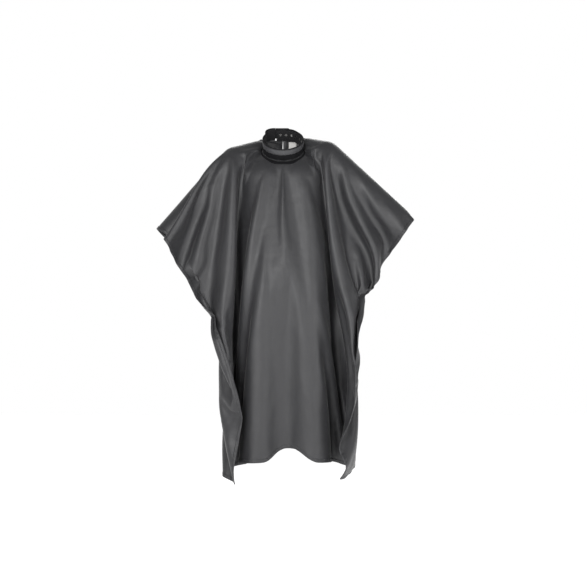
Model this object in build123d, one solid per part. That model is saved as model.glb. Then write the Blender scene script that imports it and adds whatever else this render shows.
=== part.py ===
"""Barber cape, worn: one rectangular nylon sheet with a neck hole, hung over shoulders and held-out arms.

Millimetres.  The origin is the centre of the neckband, +Z is up, the wearer faces -Y and +X is on the
left of the wearer.  The cloth is drawn as a thin closed shell along its draped outline, split into
panels that meet edge to edge.  The neckband, its snaps and its overlapping closure tab are drawn in
their own frame, with the band's axis as local Z, and tipped forward as one.
"""
from build123d import *
import math
import os

# ---- cloth, as draped -------------------------------------------------------------------------
CLOTH_T = 2.0            # drawn thickness of the draped cloth
HEM_T = 3.0              # drawn thickness of the double-folded hem
HEM_DEPTH = 12.0         # height of the hem
SLIT_GAP = 2.0           # between the two back panels
FACING_WIDTH = 22.0      # folded facing beside the slit
FACING_T = 1.2

NECK_HALF = 75.0         # half width of the part of the cloth that the neckband rises from
WING_LEFT_X = -226.0     # where the held-out left part leaves the hanging front
WING_RIGHT_X = 250.0
FRONT_ROLL_LEFT_X = -150.0
FRONT_ROLL_RIGHT_X = 172.0
RIDGE_Y = 15.0           # the shoulder and arm line, in depth
RIDGE_LEFT = [(-450, -312), (-320, -157), (-226, -50), (-208, -29), (-150, -6), (-75, 14), (0, 14)]
RIDGE_RIGHT = [(0, 14), (75, 14), (120, 8), (182, -4), (250, -66), (350, -158), (447, -247)]
RIDGE_HALF = [(0, 62), (226, 56), (330, 44), (447, 12)]      # half depth of the fold over the arm

FRONT_PROFILE = [(0, 52), (110, 122), (380, 158), (700, 172), (1200, 160)]   # depth below ridge, forward
BACK_PROFILE = [(0, 60), (110, 112), (330, 150), (560, 176)]                 # depth below ridge, rearward
WING_SHARE = [(0, 1.0), (226, 1.0), (330, 0.55), (447, 0.08)]  # how much of that depth is left further out

FRONT_HEM_Z = [(-226, -1148), (-163, -1180), (-140, -1119), (-75, -1098), (0, -1047), (45, -1045),
               (106, -1091), (160, -1114), (172, -1120), (186, -1180), (250, -1135)]
BACK_HEM_Z = [(-226, -530), (-150, -430), (-75, -360), (0, -345), (75, -360), (150, -430), (250, -540)]
WING_LEFT_HEM = [(-450, -372), (-320, -560), (-226, -775)]
WING_RIGHT_HEM = [(250, -640), (350, -455), (410, -385), (447, -305)]
WING_LEFT_BACK = [(-450, -372), (-320, -470), (-226, -500)]
WING_RIGHT_BACK = [(250, -500), (350, -415), (410, -370), (447, -305)]

# ---- neckband ---------------------------------------------------------------------------------
TILT = 35.0              # forward tip of the band's axis, degrees
NECK_R = 70.0            # inside radius, a 440 mm neck
BAND_H = 48.0
LINING_T = 0.8
INTERFACING_T = 0.8
OUTER_T = 1.0
BAND_T = LINING_T + INTERFACING_T + OUTER_T
BINDING_H = 5.0
BINDING_PROUD = 0.6
SEAM_W = 2.4             # folded seam allowance round the band's foot
SEAM_H = 1.4
SEAM_GAP_X = 46.0        # the seam allowance stops this far each side of the slit
STITCH_PROUD = 0.25
STITCH_W = 0.8
FLAT_REACH = 32.0        # the flat closure would run this far each side if its corner were sharp
CORNER_R = 40.0          # rounding of that corner
RAMP_ANGLE = 62.0        # on the tab's side the band starts to rise over the studs here
RAMP_STEPS = 12
FOOT_STEPS = 360
FOOT_MARGIN = 2.0        # the cloth clears the tab's root by this many degrees
UNDERLAP_X = -24.0       # free end of the inner, studded end
TAB_ROOT_X = -28.0
TAB_END_X = 24.0
TAB_LOW = -18.0          # the tab stops above the cloth
TAB_STANDOFF = 3.4       # snap height between the two ends of the band
TAB_CORNER_R = 8.0       # rounding of the tab's free corners
TAB_SLIT = 0.3           # between the tab's root and the end of the band it continues
TAB_STITCH_INSET = 2.6
ROW_ABOVE_FOOT = 4.0     # lower stitch row of the band
ROW_BELOW_BINDING = 3.0  # upper stitch row of the band
FIT = 0.1                # clearance round a piece set into another
TAB_V = NECK_R + BAND_T + TAB_STANDOFF
ROOT_ANGLE = math.degrees(math.atan2(-TAB_ROOT_X, TAB_V))
CORNER_TURN = 2 * math.atan(FLAT_REACH / NECK_R)
CORNER_U = FLAT_REACH - CORNER_R * math.tan(CORNER_TURN / 2)
CORNER_V = NECK_R - CORNER_R

# ---- snaps ------------------------------------------------------------------------------------
SNAP_PITCH = 20.0
KNOB_ROUND = 0.7
CAP_ROUND = 0.9
SOCKET_ROUND = 0.6
STUD_COUNT = 6
POST_FLANGE_R = 4.6
POST_FLANGE_T = 0.5
SHANK_R = 1.3
SHANK_HOLE_R = 1.5
STUD_BASE_R = 4.6
STUD_BASE_T = 0.5
STUD_KNOB_R = 1.75
STUD_KNOB_H = 2.0
SOCKET_R = 5.0
SOCKET_HOLE_R = 2.25
SOCKET_H = 2.6
CAP_R = 6.2
CAP_T = 1.5

# ---- care label -------------------------------------------------------------------------------
LABEL_W = 28.0
LABEL_H = 42.0
LABEL_T = 0.4
LABEL_X = 34.0
LABEL_Y = 80.0
LABEL_TOP_Z = 17.0
LABEL_ROW_DROP = 3.0     # stitch row below the label's top edge
LABEL_ROW_INSET = 1.0    # the row stops this far from each side


def along(table, x):
    """Value of a piecewise straight table at x, held flat past both ends."""
    if x <= table[0][0]:
        return float(table[0][1])
    for (x0, v0), (x1, v1) in zip(table, table[1:]):
        if x <= x1:
            return v0 + (v1 - v0) * (x - x0) / (x1 - x0)
    return float(table[-1][1])


def tipped(v, w):
    """The (y, z) place in the cape's frame of depth v and height w in the band's own frame."""
    t = math.radians(TILT)
    return v * math.cos(t) - w * math.sin(t), v * math.sin(t) + w * math.cos(t)


# ===== cloth panels ============================================================================
FRONT_STEPS = (0.62, 0.30, 0.10)      # shares of the fall from shoulder to hem where the front bends
BACK_STEPS = (0.30,)
COLLAR_FRONT = 79.0                   # the cloth lies in the band's lower plane out to here
COLLAR_BACK = 83.0


def centreline(x, front_hem, back_hem):
    """Draped outline of the cloth at one x, from the front hem over the shoulder to the back hem."""
    side = RIDGE_LEFT if x <= 0 else RIDGE_RIGHT
    top = along(side, x)
    half = along(RIDGE_HALF, abs(x))
    share = along(WING_SHARE, abs(x))
    if abs(x) <= NECK_HALF:
        ridge = []
        for k in range(5):
            reach = -COLLAR_FRONT + (COLLAR_FRONT + COLLAR_BACK) * k / 4
            ridge.append(tipped(reach, -BAND_H / 2))
    else:
        ridge = []
        for k in range(5):
            turn = math.radians(180 - 45 * k)
            ridge.append((RIDGE_Y + half * math.cos(turn), top - half + half * math.sin(turn)))
    front = []
    start_y, start_z = ridge[0]
    for step in FRONT_STEPS:
        z = start_z + step * (front_hem - start_z)
        reach = along(FRONT_PROFILE, top - z)
        front.append((start_y + (-reach - start_y) * share, z))
    reach = along(FRONT_PROFILE, top - front_hem)
    hem_y = start_y + (-reach - start_y) * share
    hem = [(hem_y, front_hem), (hem_y, front_hem + HEM_DEPTH)]
    back = []
    end_y, end_z = ridge[-1]
    for step in BACK_STEPS:
        z = end_z + step * (back_hem - end_z)
        reach = along(BACK_PROFILE, top - z)
        back.append((end_y + (reach - end_y) * share, z))
    reach = along(BACK_PROFILE, top - back_hem)
    tail_y = end_y + (reach - end_y) * share
    tail = [(tail_y, back_hem + HEM_DEPTH), (tail_y, back_hem)]
    return hem + front + ridge + back + tail


FRONT_HEM = (0, 1)
FRONT = (1, 5)
OVER = (5, 9)
BACK = (9, 11)
BACK_HEM = (11, 12)


def offset_line(points, distance):
    """The outline moved sideways by a distance, outward when positive, with mitred corners."""
    moved = []
    for i, (y, z) in enumerate(points):
        before = points[max(i - 1, 0)]
        after = points[min(i + 1, len(points) - 1)]
        normals = []
        for (y0, z0), (y1, z1) in ((before, (y, z)), ((y, z), after)):
            length = math.hypot(y1 - y0, z1 - z0)
            if length > 1e-6:
                normals.append(((z0 - z1) / length, (y1 - y0) / length))
        ny = sum(n[0] for n in normals) / len(normals)
        nz = sum(n[1] for n in normals) / len(normals)
        size = ny * ny + nz * nz
        moved.append((y + distance * ny / size, z + distance * nz / size))
    return moved


def slice_face(x, line, part, low, high):
    """Closed face at one x of the outline between two of its points, from offset low to offset high."""
    first, last = part
    outer = offset_line(line, high)[first:last + 1]
    inner = offset_line(line, low)[first:last + 1]
    ring = outer + inner[::-1]
    wire = Wire.make_polygon([Vector(x, y, z) for y, z in ring], close=True)
    return Face(wire)


def panel(across, front_hem, back_hem, part, low=-CLOTH_T / 2, high=CLOTH_T / 2):
    """Thin solid through the outline's slices at the given x stations."""
    faces = []
    for x in across:
        line = centreline(x, along(front_hem, x), along(back_hem, x))
        faces.append(slice_face(x, line, part, low, high))
    return loft(faces, ruled=True)


def stations(low, high):
    """The x values between two limits where any outline changes, so that neighbouring panels match."""
    tables = (FRONT_HEM_Z, BACK_HEM_Z, RIDGE_LEFT, RIDGE_RIGHT, WING_LEFT_HEM, WING_RIGHT_HEM)
    inside = {float(x) for table in tables for x, _ in table if low < x < high}
    inside |= {x for x in (-NECK_HALF, 0.0, NECK_HALF) if low < x < high}
    return sorted(inside | {float(low), float(high)})


# ===== neckband pieces, in the band's own frame ================================================
def closure_radius(angle, depth):
    """Radius of the studded side's surface: flat behind the neck, a corner, a straight, then round."""
    a = math.radians(abs(angle))
    radius = NECK_R + depth
    corner_radius = CORNER_R + depth
    corner_end_u = CORNER_U + corner_radius * math.sin(CORNER_TURN)
    corner_end_v = CORNER_V + corner_radius * math.cos(CORNER_TURN)
    if a <= math.atan2(CORNER_U, radius):
        return radius / math.cos(a)
    if a <= math.atan2(corner_end_u, corner_end_v):
        along_ray = CORNER_U * math.sin(a) + CORNER_V * math.cos(a)
        return along_ray + math.sqrt(along_ray ** 2 - CORNER_U ** 2 - CORNER_V ** 2 + corner_radius ** 2)
    if a <= CORNER_TURN:
        return radius / math.cos(CORNER_TURN - a)
    return radius


def polar(angle, radius):
    """Point in the band's plane; the angle is measured from the centre back, towards -X when positive."""
    a = math.radians(angle)
    return -radius * math.sin(a), radius * math.cos(a)


def ramp_radius(angle, depth):
    """Radius of the end that carries the tab: round, then rising to the tab's plane over the studs."""
    share = min(max((RAMP_ANGLE - angle) / (RAMP_ANGLE - ROOT_ANGLE), 0.0), 1.0)
    share = share * share * (3 - 2 * share)
    flat = (TAB_V + depth) / math.cos(math.radians(angle))
    return (NECK_R + depth) * (1 - share) + flat * share


def smooth_edge(points, start_heading, end_heading):
    """Spline through points of the band's plane with a set direction at each end."""
    tangents = [(math.cos(h), math.sin(h)) for h in (start_heading, end_heading)]
    return Edge.make_spline([Vector(u, v, 0) for u, v in points], tangents=tangents)


def band_edges(depth):
    """Edges of one surface of the band, from the tab's root round the front to the underlap's end."""
    radius = NECK_R + depth
    ramp = []
    for k in range(RAMP_STEPS + 1):
        angle = ROOT_ANGLE + (RAMP_ANGLE - ROOT_ANGLE) * k / RAMP_STEPS
        ramp.append(polar(angle, ramp_radius(angle, depth)))
    round_start = math.radians(180 + RAMP_ANGLE)
    across = (math.sin(CORNER_TURN), math.cos(CORNER_TURN))
    half_across = (math.sin(CORNER_TURN / 2), math.cos(CORNER_TURN / 2))
    round_end = Vector(radius * across[0], radius * across[1], 0)
    corner = CORNER_R + depth
    corner_start = Vector(CORNER_U + corner * across[0], CORNER_V + corner * across[1], 0)
    corner_mid = Vector(CORNER_U + corner * half_across[0], CORNER_V + corner * half_across[1], 0)
    corner_end = Vector(CORNER_U, radius, 0)
    return [
        smooth_edge(ramp, math.pi, round_start),
        Edge.make_three_point_arc(Vector(*ramp[-1], 0), Vector(0, -radius, 0), round_end),
        Edge.make_line(round_end, corner_start),
        Edge.make_three_point_arc(corner_start, corner_mid, corner_end),
        Edge.make_line(corner_end, Vector(UNDERLAP_X, radius, 0)),
    ]


def band_layer(inner, outer, low, high):
    """One layer of the band between two depths outside the lining's face and two heights."""
    inside = band_edges(inner)
    outside = band_edges(outer)
    start = Edge.make_line(inside[0] @ 0, outside[0] @ 0)
    end = Edge.make_line(inside[-1] @ 1, outside[-1] @ 1)
    face = Face(Wire(inside + outside + [start, end]))
    return extrude(Pos(0, 0, low) * face, amount=high - low, dir=(0, 0, 1))


def band_footprint(depth, low, high):
    """Solid plug of everything inside the band, out to a depth outside the lining's face."""
    edge = []
    for k in range(FOOT_STEPS):
        angle = -180 + 360 * k / FOOT_STEPS
        if 0 < angle < ROOT_ANGLE:
            reach = (NECK_R + depth) / math.cos(math.radians(angle))
        else:
            reach = closure_radius(angle, depth)
        if ROOT_ANGLE - FOOT_MARGIN <= angle <= RAMP_ANGLE:
            angle_on_ramp = max(angle, ROOT_ANGLE)
            reach = max(reach, ramp_radius(angle_on_ramp, depth))
        edge.append(Vector(*polar(angle, reach), low))
    return extrude(Face(Wire.make_polygon(edge, close=True)), amount=high - low, dir=(0, 0, 1))


def stud_places():
    """Centre and heading, in the band's plane, of each stud along the studded end."""
    places = []
    corner_length = CORNER_R * CORNER_TURN
    straight = NECK_R * math.tan(CORNER_TURN / 2) - CORNER_R * math.tan(CORNER_TURN / 2)
    for k in range(STUD_COUNT):
        run = -SNAP_PITCH / 2 + SNAP_PITCH * k
        turned = min(max((run - CORNER_U) / CORNER_R, 0.0), CORNER_TURN)
        u = min(run, CORNER_U) + CORNER_R * math.sin(turned)
        v = CORNER_V + CORNER_R * math.cos(turned)
        beyond = run - CORNER_U - corner_length
        if beyond > 0:
            ahead = min(beyond, straight)
            u += ahead * math.cos(CORNER_TURN)
            v -= ahead * math.sin(CORNER_TURN)
        if beyond > straight:
            turned += (beyond - straight) / NECK_R
            u = NECK_R * math.sin(turned)
            v = NECK_R * math.cos(turned)
        places.append((u, v, -math.degrees(turned)))
    return places


def outward(shape, place):
    """A shape drawn on the XY plane with +Z outward, moved to a place on the band."""
    u, v, heading = place
    return Pos(u, v, 0) * Rot(0, 0, heading) * Rot(-90, 0, 0) * shape


def disc(radius, low, high):
    """Round disc between two heights above the band's inner face."""
    return Pos(0, 0, (low + high) / 2) * Cylinder(radius, high - low)


def tab_layer(low, high, inset=0.0):
    """Flat layer of the closure tab, with its free corners rounded."""
    width = TAB_END_X - TAB_ROOT_X - TAB_SLIT - inset
    height = BAND_H / 2 - TAB_LOW - 2 * inset
    centre_u = TAB_ROOT_X + TAB_SLIT + width / 2
    centre_w = (BAND_H / 2 + TAB_LOW) / 2
    plate = Pos(centre_u, (low + high) / 2, centre_w) * Box(width, high - low, height)
    free_edges = plate.edges().filter_by(Axis.Y).group_by(Axis.X)[-1]
    return fillet(free_edges, TAB_CORNER_R)


def tip(shape):
    """From the band's frame to the cape's frame."""
    return Rot(TILT, 0, 0) * shape


# ===== build ===================================================================================
def cloth_parts():
    parts = {}
    front_x = stations(FRONT_ROLL_LEFT_X, FRONT_ROLL_RIGHT_X)
    left_x = stations(WING_LEFT_X, FRONT_ROLL_LEFT_X)
    right_x = stations(FRONT_ROLL_RIGHT_X, WING_RIGHT_X)
    parts["front_panel"] = panel(front_x, FRONT_HEM_Z, BACK_HEM_Z, FRONT)
    parts["left_front_drape"] = panel(left_x, FRONT_HEM_Z, BACK_HEM_Z, FRONT)
    parts["right_front_drape"] = panel(right_x, FRONT_HEM_Z, BACK_HEM_Z, FRONT)

    hole = tip(band_footprint(BAND_T + FIT, -1.5 * BAND_H, 1.5 * BAND_H))
    left_over = stations(WING_LEFT_X, 0)
    right_over = stations(0, WING_RIGHT_X)
    parts["left_shoulder"] = panel(left_over, FRONT_HEM_Z, BACK_HEM_Z, OVER) - hole
    parts["right_shoulder"] = panel(right_over, FRONT_HEM_Z, BACK_HEM_Z, OVER) - hole

    back_left = stations(WING_LEFT_X, -SLIT_GAP / 2)
    back_right = stations(SLIT_GAP / 2, WING_RIGHT_X)
    parts["back_left_panel"] = panel(back_left, FRONT_HEM_Z, BACK_HEM_Z, BACK)
    parts["back_right_panel"] = panel(back_right, FRONT_HEM_Z, BACK_HEM_Z, BACK)

    wing_left = stations(RIDGE_LEFT[0][0], WING_LEFT_X)
    wing_right = stations(WING_RIGHT_X, RIDGE_RIGHT[-1][0])
    half_front = (1, 7)
    half_back = (7, 11)
    parts["left_wing_front"] = panel(wing_left, WING_LEFT_HEM, WING_LEFT_BACK, half_front)
    parts["left_wing_back"] = panel(wing_left, WING_LEFT_HEM, WING_LEFT_BACK, half_back)
    parts["right_wing_front"] = panel(wing_right, WING_RIGHT_HEM, WING_RIGHT_BACK, half_front)
    parts["right_wing_back"] = panel(wing_right, WING_RIGHT_HEM, WING_RIGHT_BACK, half_back)

    hem_low = -HEM_T / 2
    hem_high = HEM_T / 2
    whole_front = stations(WING_LEFT_X, WING_RIGHT_X)
    parts["front_hem"] = panel(whole_front, FRONT_HEM_Z, BACK_HEM_Z, FRONT_HEM, hem_low, hem_high)
    parts["back_left_hem"] = panel(back_left, FRONT_HEM_Z, BACK_HEM_Z, BACK_HEM, hem_low, hem_high)
    parts["back_right_hem"] = panel(back_right, FRONT_HEM_Z, BACK_HEM_Z, BACK_HEM, hem_low, hem_high)
    for side, across, front, back in (
        ("left", wing_left, WING_LEFT_HEM, WING_LEFT_BACK),
        ("right", wing_right, WING_RIGHT_HEM, WING_RIGHT_BACK),
    ):
        fore = panel(across, front, back, FRONT_HEM, hem_low, hem_high)
        rear = panel(across, front, back, BACK_HEM, hem_low, hem_high)
        parts[side + "_side_hem"] = Compound([fore, rear])

    inner = -CLOTH_T / 2 - FIT
    facing_left = [-FACING_WIDTH, -SLIT_GAP / 2]
    facing_right = [SLIT_GAP / 2, FACING_WIDTH]
    parts["slit_facing_left"] = panel(facing_left, FRONT_HEM_Z, BACK_HEM_Z, BACK, inner - FACING_T, inner)
    parts["slit_facing_right"] = panel(facing_right, FRONT_HEM_Z, BACK_HEM_Z, BACK, inner - FACING_T, inner)
    return parts


def band_parts():
    parts = {}
    bottom = -BAND_H / 2
    top = BAND_H / 2
    mid = LINING_T + INTERFACING_T
    binding_low = top - BINDING_H
    lining = band_layer(0, LINING_T, bottom, binding_low)
    interfacing = band_layer(LINING_T, mid, bottom, binding_low)
    outer = band_layer(mid, BAND_T, bottom, binding_low)
    binding = band_layer(0, BAND_T + BINDING_PROUD, binding_low, top)

    studs = []
    posts = []
    for place in stud_places():
        post = disc(POST_FLANGE_R, 0, POST_FLANGE_T) + disc(SHANK_R, POST_FLANGE_T, BAND_T)
        base = disc(STUD_BASE_R, BAND_T, BAND_T + STUD_BASE_T)
        knob_low = BAND_T + STUD_BASE_T
        knob = disc(STUD_KNOB_R, knob_low, knob_low + STUD_KNOB_H)
        rim = knob.edges().filter_by(GeomType.CIRCLE).sort_by(Axis.Z)[-1]
        studs.append(outward(base + fillet(rim, KNOB_ROUND), place))
        posts.append(outward(post, place))
        lining -= outward(disc(POST_FLANGE_R + FIT, -2, LINING_T + 0.01), place)
        interfacing -= outward(disc(SHANK_HOLE_R, LINING_T - 0.2, mid + 0.2), place)
        outer -= outward(disc(SHANK_HOLE_R, mid - 0.2, BAND_T + 0.6), place)

    parts["neckband_lining"] = lining
    parts["neckband_interfacing"] = interfacing
    parts["neckband_outer"] = outer
    parts["neckband_binding"] = binding
    parts["snap_studs"] = Compound(studs)
    parts["snap_stud_posts"] = Compound(posts)

    rows = []
    for height in (bottom + ROW_ABOVE_FOOT, binding_low - ROW_BELOW_BINDING):
        ring = band_layer(BAND_T, BAND_T + STITCH_PROUD, height, height + STITCH_W)
        for place in stud_places():
            ring -= outward(disc(STUD_BASE_R + 0.3, BAND_T - 1, BAND_T + 2), place)
        rows.append(ring)
    parts["neckband_stitching"] = Compound(rows)
    return parts


def seam_part():
    """Folded seam allowance where the cloth meets the foot of the band, left open at the slit."""
    low = -BAND_H / 2 + CLOTH_T / 2 + FIT
    outside = band_footprint(BAND_T + 0.2 + SEAM_W, low, low + SEAM_H)
    ring = outside - band_footprint(BAND_T + 0.2, low - 1, low + SEAM_H + 1)
    gap = Pos(0, NECK_R, low) * Box(2 * SEAM_GAP_X, 60, 10)
    return ring - gap


def tab_parts():
    parts = {}
    lining_top = TAB_V + LINING_T
    middle_top = lining_top + INTERFACING_T
    outer_top = middle_top + OUTER_T
    lining = tab_layer(TAB_V, lining_top)
    interfacing = tab_layer(lining_top, middle_top)
    outer = tab_layer(middle_top, outer_top)
    caps = []
    sockets = []
    for u in (-SNAP_PITCH / 2, SNAP_PITCH / 2):
        face = Pos(u, TAB_V, 0) * Rot(-90, 0, 0)
        thickness = outer_top - TAB_V
        cap = disc(CAP_R, thickness, thickness + CAP_T)
        crown = cap.edges().filter_by(GeomType.CIRCLE).sort_by(Axis.Z)[-1]
        cap = fillet(crown, CAP_ROUND) + disc(SHANK_R, 0, thickness)
        caps.append(face * cap)
        socket = disc(SOCKET_R, -SOCKET_H, 0) - disc(SOCKET_HOLE_R, -SOCKET_H, -0.4)
        lip = socket.edges().filter_by(GeomType.CIRCLE).group_by(Axis.Z)[0].sort_by(SortBy.LENGTH)[-1]
        sockets.append(face * fillet(lip, SOCKET_ROUND))
        hole = face * disc(SHANK_HOLE_R, -0.2, thickness + 0.2)
        lining -= hole
        interfacing -= hole
        outer -= hole
    parts["tab_lining"] = lining
    parts["tab_interfacing"] = interfacing
    parts["tab_outer"] = outer
    parts["snap_caps"] = Compound(caps)
    parts["snap_sockets"] = Compound(sockets)
    frame = tab_layer(outer_top, outer_top + STITCH_PROUD, TAB_STITCH_INSET)
    frame -= tab_layer(outer_top - 1, outer_top + 1, TAB_STITCH_INSET + STITCH_W)
    for u in (-SNAP_PITCH / 2, SNAP_PITCH / 2):
        frame -= Pos(u, outer_top, 0) * Rot(-90, 0, 0) * disc(CAP_R + 0.3, -1, 2)
    parts["tab_stitching"] = frame
    return parts


def label_parts():
    """Blank woven care label, sewn by its top edge inside the back, hanging straight down."""
    middle_z = LABEL_TOP_Z - LABEL_H / 2
    label = Pos(LABEL_X, LABEL_Y, middle_z) * Box(LABEL_W, LABEL_T, LABEL_H)
    row_y = LABEL_Y - LABEL_T / 2 - STITCH_PROUD / 2
    row = Pos(LABEL_X, row_y, LABEL_TOP_Z - LABEL_ROW_DROP)
    row *= Box(LABEL_W - 2 * LABEL_ROW_INSET, STITCH_PROUD, STITCH_W)
    return {"care_label": label, "care_label_stitching": row}


def main():
    os.makedirs("parts", exist_ok=True)
    shapes = dict(cloth_parts())
    for name, shape in {**band_parts(), **tab_parts(), "neck_seam": seam_part()}.items():
        shapes[name] = tip(shape)
    shapes.update(label_parts())
    for name, shape in shapes.items():
        export_step(shape, "parts/" + name + ".step")


main()
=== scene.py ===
"""Barber cape, worn by nobody: the draped cloth, its hems, neckband, snaps, closure tab and care label.

The cloth is cut flat, laid over a set of round shapes that stand for the wearer, and left to hang.
Metres throughout.  The viewer's left is -X, and the front of the cape faces -Y.
"""
import math
import bpy
import numpy as np
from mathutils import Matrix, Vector
from mathutils.bvhtree import BVHTree


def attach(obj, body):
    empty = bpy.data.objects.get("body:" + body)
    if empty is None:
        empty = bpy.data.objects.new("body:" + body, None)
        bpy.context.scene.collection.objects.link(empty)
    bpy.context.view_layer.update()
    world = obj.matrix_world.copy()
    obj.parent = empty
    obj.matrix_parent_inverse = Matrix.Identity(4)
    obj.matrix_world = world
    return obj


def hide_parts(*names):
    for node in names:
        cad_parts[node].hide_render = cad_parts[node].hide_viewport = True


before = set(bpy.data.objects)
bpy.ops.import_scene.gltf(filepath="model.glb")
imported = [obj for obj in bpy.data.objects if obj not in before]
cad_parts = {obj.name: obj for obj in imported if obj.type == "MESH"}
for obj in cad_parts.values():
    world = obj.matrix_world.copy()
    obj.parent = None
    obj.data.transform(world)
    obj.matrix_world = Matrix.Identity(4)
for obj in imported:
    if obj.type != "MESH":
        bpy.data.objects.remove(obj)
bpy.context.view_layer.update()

# ===== the cut of the cloth =====
CUT_W = 1.143            # side to side
CUT_FRONT = 1.073        # neck hole's centre to the middle of the front hem
CUT_BACK = 0.451         # neck hole's centre to the back hem
HEM_ARCH = 0.045         # the front hem is cut this much longer beside the middle
ARCH_X = 0.020           # where that arch has its top
HOLE_R = 0.0727
PATCH = 0.16             # half side of the square round the hole that is gridded as rings
HEM_W = 0.012
FACING_W = 0.022
CLOTH_WEIGHT = 0.085     # kg per square metre
CLOTH_SHEAR = 12.0
CELL = 0.04              # of the first, coarsest grid, which is then halved
NECK_RINGS = 3           # of cells round the neck hole, in that grid
MM = 0.001

# ===== the neckband, as in the CAD model =====
TILT = math.radians(35)
BAND_H = 0.048
NECK_R = 0.070
BAND_T = 0.0026
LINING_T = 0.0008
MIDDLE_T = 0.0016
BINDING_H = 0.005
SHADE_STRIP_H = 0.024          # of the painted shade strip along the foot: the band's lower part drawn near-black for the shadow on it
BINDING_PROUD = 0.0006
SEAM_W = 0.0024
SEAM_H = 0.0014
SEAM_GAP = 0.046
FLAT_REACH = 0.032
CORNER_R = 0.040
RAMP = math.radians(62)
UNDERLAP_X = -0.024
TAB_ROOT_X = -0.028
TAB_END_X = 0.024
TAB_LOW = -0.018
TAB_V = NECK_R + BAND_T + 0.0034
TAB_CORNER = 0.008
ROOT = math.atan2(-TAB_ROOT_X, TAB_V)
TURN = 2 * math.atan(FLAT_REACH / NECK_R)
CORNER_U = FLAT_REACH - CORNER_R * math.tan(TURN / 2)
CORNER_V = NECK_R - CORNER_R


def ease(t):
    """Smooth rise from 0 to 1: ease((x - a) / b) starts at a and is full b further on."""
    t = np.clip(t, 0, 1)
    return t * t * (3 - 2 * t)


# ===== the wearer's round shapes =====
SHOULDER = {-1: (-.166, .015, -.062), 1: (.150, .015, -.042)}
HAND = {-1: (-.408, .02, -.318), 1: (.405, .0, -.263)}


def wearer():
    """Rounded cones (end, end, radius, radius) for chest, back, shoulders, held-out arms and legs."""
    shapes = [
        ((0, .018, -.115), (0, -.022, -.45), .088, .112),
        ((0, -.022, -.45), (0, .0, -.66), .112, .095),
    ]
    for s in (-1, 1):
        shapes += [
            ((s * .055, .015, -.130), (s * .042, -.012, -.45), .092, .098),
            ((s * .042, -.012, -.45), (s * .070, .020, -.66), .098, .078),
            ((s * .100, .02, -.093), (s * .055, .015, -.130), .060, .092),
            ((s * .088, .055, -.026 + (.010 if s > 0 else 0)), SHOULDER[s], .042, .054),
            (SHOULDER[s], HAND[s], .054, .042),
            ((s * .070, .02, -.66), (s * .11, .05, -1.3), .078, .045),
        ]
    return [(np.array(a, float), np.array(b, float), ra, rb) for a, b, ra, rb in shapes]


def clearance(shapes, x, pad=.02):
    """Distance of each point from the nearest shape, and the way out of it."""
    best = np.full(len(x), 1e9)
    away = np.zeros_like(x)
    for a, b, ra, rb in shapes:
        reach = max(ra, rb) + pad
        low, high = np.minimum(a, b) - reach, np.maximum(a, b) + reach
        near = np.flatnonzero(np.all((x > low) & (x < high), axis=1))
        if not len(near):
            continue
        p, d = x[near] - a, b - a
        t = np.clip(p @ d / (d @ d), 0, 1)
        q = p - t[:, None] * d
        length = np.sqrt((q * q).sum(1)) + 1e-12
        gap = length - (ra + (rb - ra) * t)
        closer = gap < best[near]
        best[near[closer]] = gap[closer]
        away[near[closer]] = q[closer] / length[closer][:, None]
    return best, away


# ===== the cut, as a grid =====
def cut_grid(cell, rings):
    """Grid of the whole cut, with rings round the neck hole and the back slit left open."""
    count = int(round(2 * PATCH / cell))

    def lines(a, b):
        n = max(1, int(round(abs(b - a) / cell)))
        return [a + (b - a) * i / n for i in range(n + 1)]

    verts, index, quads = [], {}, []

    def vertex(x, y, side=0):
        key = (round(x * 1e5), round(y * 1e5), side)
        if key not in index:
            index[key] = len(verts)
            verts.append((x, y))
        return index[key]

    mid = [-PATCH + 2 * PATCH * i / count for i in range(count + 1)]
    xs = lines(-CUT_W / 2, -PATCH)[:-1] + mid + lines(PATCH, CUT_W / 2)[1:]
    ys = lines(-CUT_FRONT, -PATCH)[:-1] + mid + lines(PATCH, CUT_BACK)[1:]
    inside = PATCH + 1e-6
    for x0, x1 in zip(xs, xs[1:]):
        for y0, y1 in zip(ys, ys[1:]):
            if -inside <= x0 and x1 <= inside and -inside <= y0 and y1 <= inside:
                continue
            right = x0 + x1 > 0
            ring = ((x0, y0), (x1, y0), (x1, y1), (x0, y1))
            quads.append([vertex(x, y, int(abs(x) < 1e-6 and y > 0 and right)) for x, y in ring])
    square = [(x, PATCH) for x in mid if x >= -1e-9] + [(PATCH, y) for y in mid[::-1]][1:]
    square += [(x, -PATCH) for x in mid[::-1]][1:] + [(-PATCH, y) for y in mid][1:]
    square += [(x, PATCH) for x in mid if x <= 1e-9][1:]
    last = len(square) - 1

    def ring_point(i, j):
        x, y = square[i]
        turn = math.pi / 2 - 2 * math.pi * i / last
        out = (j / rings) ** 0.9
        x = HOLE_R * math.cos(turn) * (1 - out) + x * out
        y = HOLE_R * math.sin(turn) * (1 - out) + y * out
        if i in (0, last):
            return vertex(0.0, y, int(i == 0))
        return vertex(x, y)

    for i in range(last):
        for j in range(rings):
            quads.append([ring_point(i + 1, j), ring_point(i + 1, j + 1), ring_point(i, j + 1), ring_point(i, j)])
    return np.array(verts), np.array(quads)


def arch_hem(flat):
    """The front hem is cut a little longer beside the middle."""
    out = flat.copy()
    out[:, 1] -= HEM_ARCH * ease((abs(flat[:, 0] - ARCH_X) - .01) / .10) * ease((-flat[:, 1] - .45) / .62)
    return out


def at_hole(flat):
    """Which points lie on the rim of the neck hole."""
    return np.hypot(flat[:, 0], flat[:, 1]) < HOLE_R + 1e-4


def edges_of(quads):
    pairs = np.vstack([quads[:, [i, (i + 1) % 4]] for i in range(4)])
    pairs.sort(axis=1)
    return np.unique(pairs, axis=0)


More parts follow.
